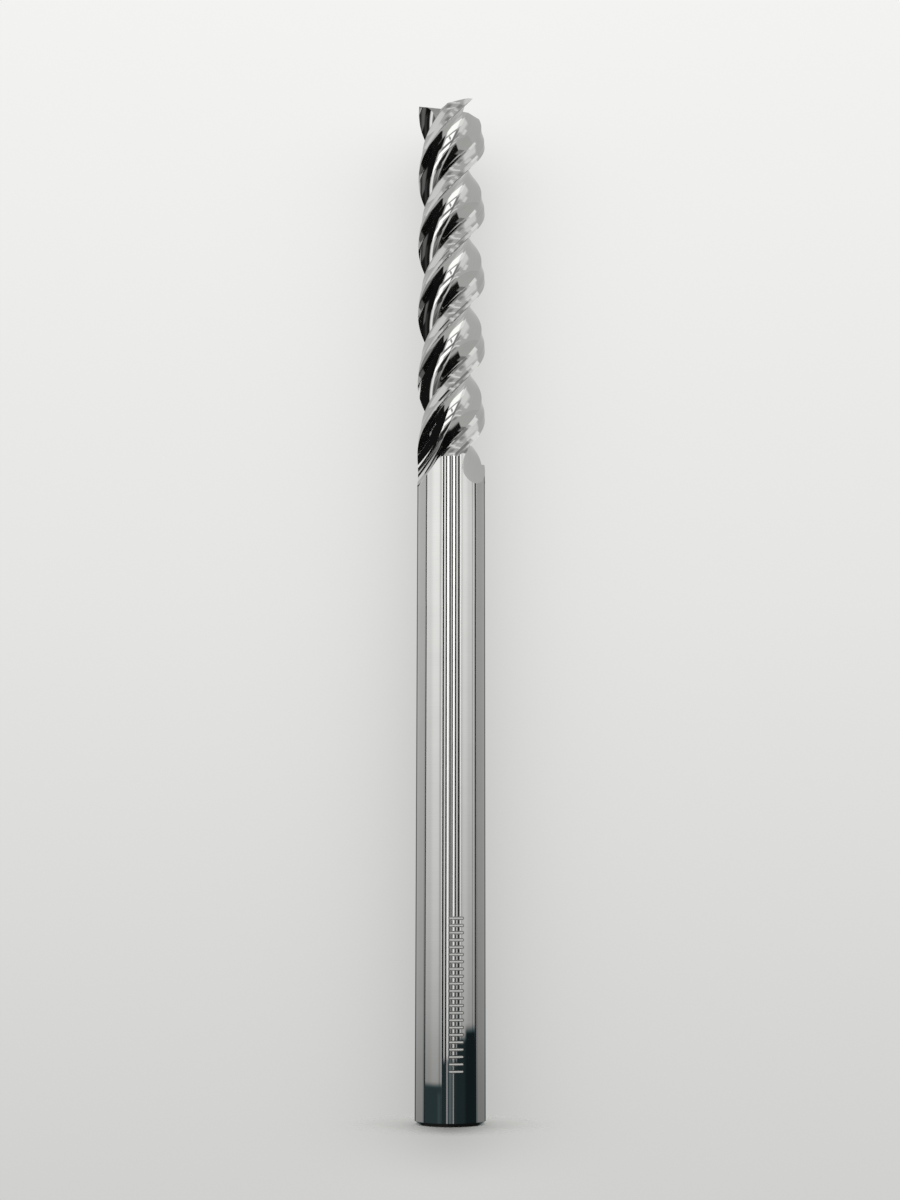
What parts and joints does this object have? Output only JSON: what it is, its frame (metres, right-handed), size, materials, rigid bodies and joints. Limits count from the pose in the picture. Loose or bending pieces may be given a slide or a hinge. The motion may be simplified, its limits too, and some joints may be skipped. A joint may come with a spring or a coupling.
{
  "type": "end mill",
  "caption": "Solid carbide end mill: plain round shank, steep right-hand helical flutes and square end teeth, ground from one rod, for milling aluminium.",
  "frame": {"origin": "centre of the flat end of the shank, where the tool stands", "axes": "+Z along the tool's axis from the shank end to the teeth; -Y is the side that faces the camera in the picture"},
  "size_m": [0.01, 0.01, 0.15],
  "materials": {
    "carbide": "polished"
  },
  "bodies": {
    "root": {"end_mill": "carbide"}
  },
  "joints": []
}
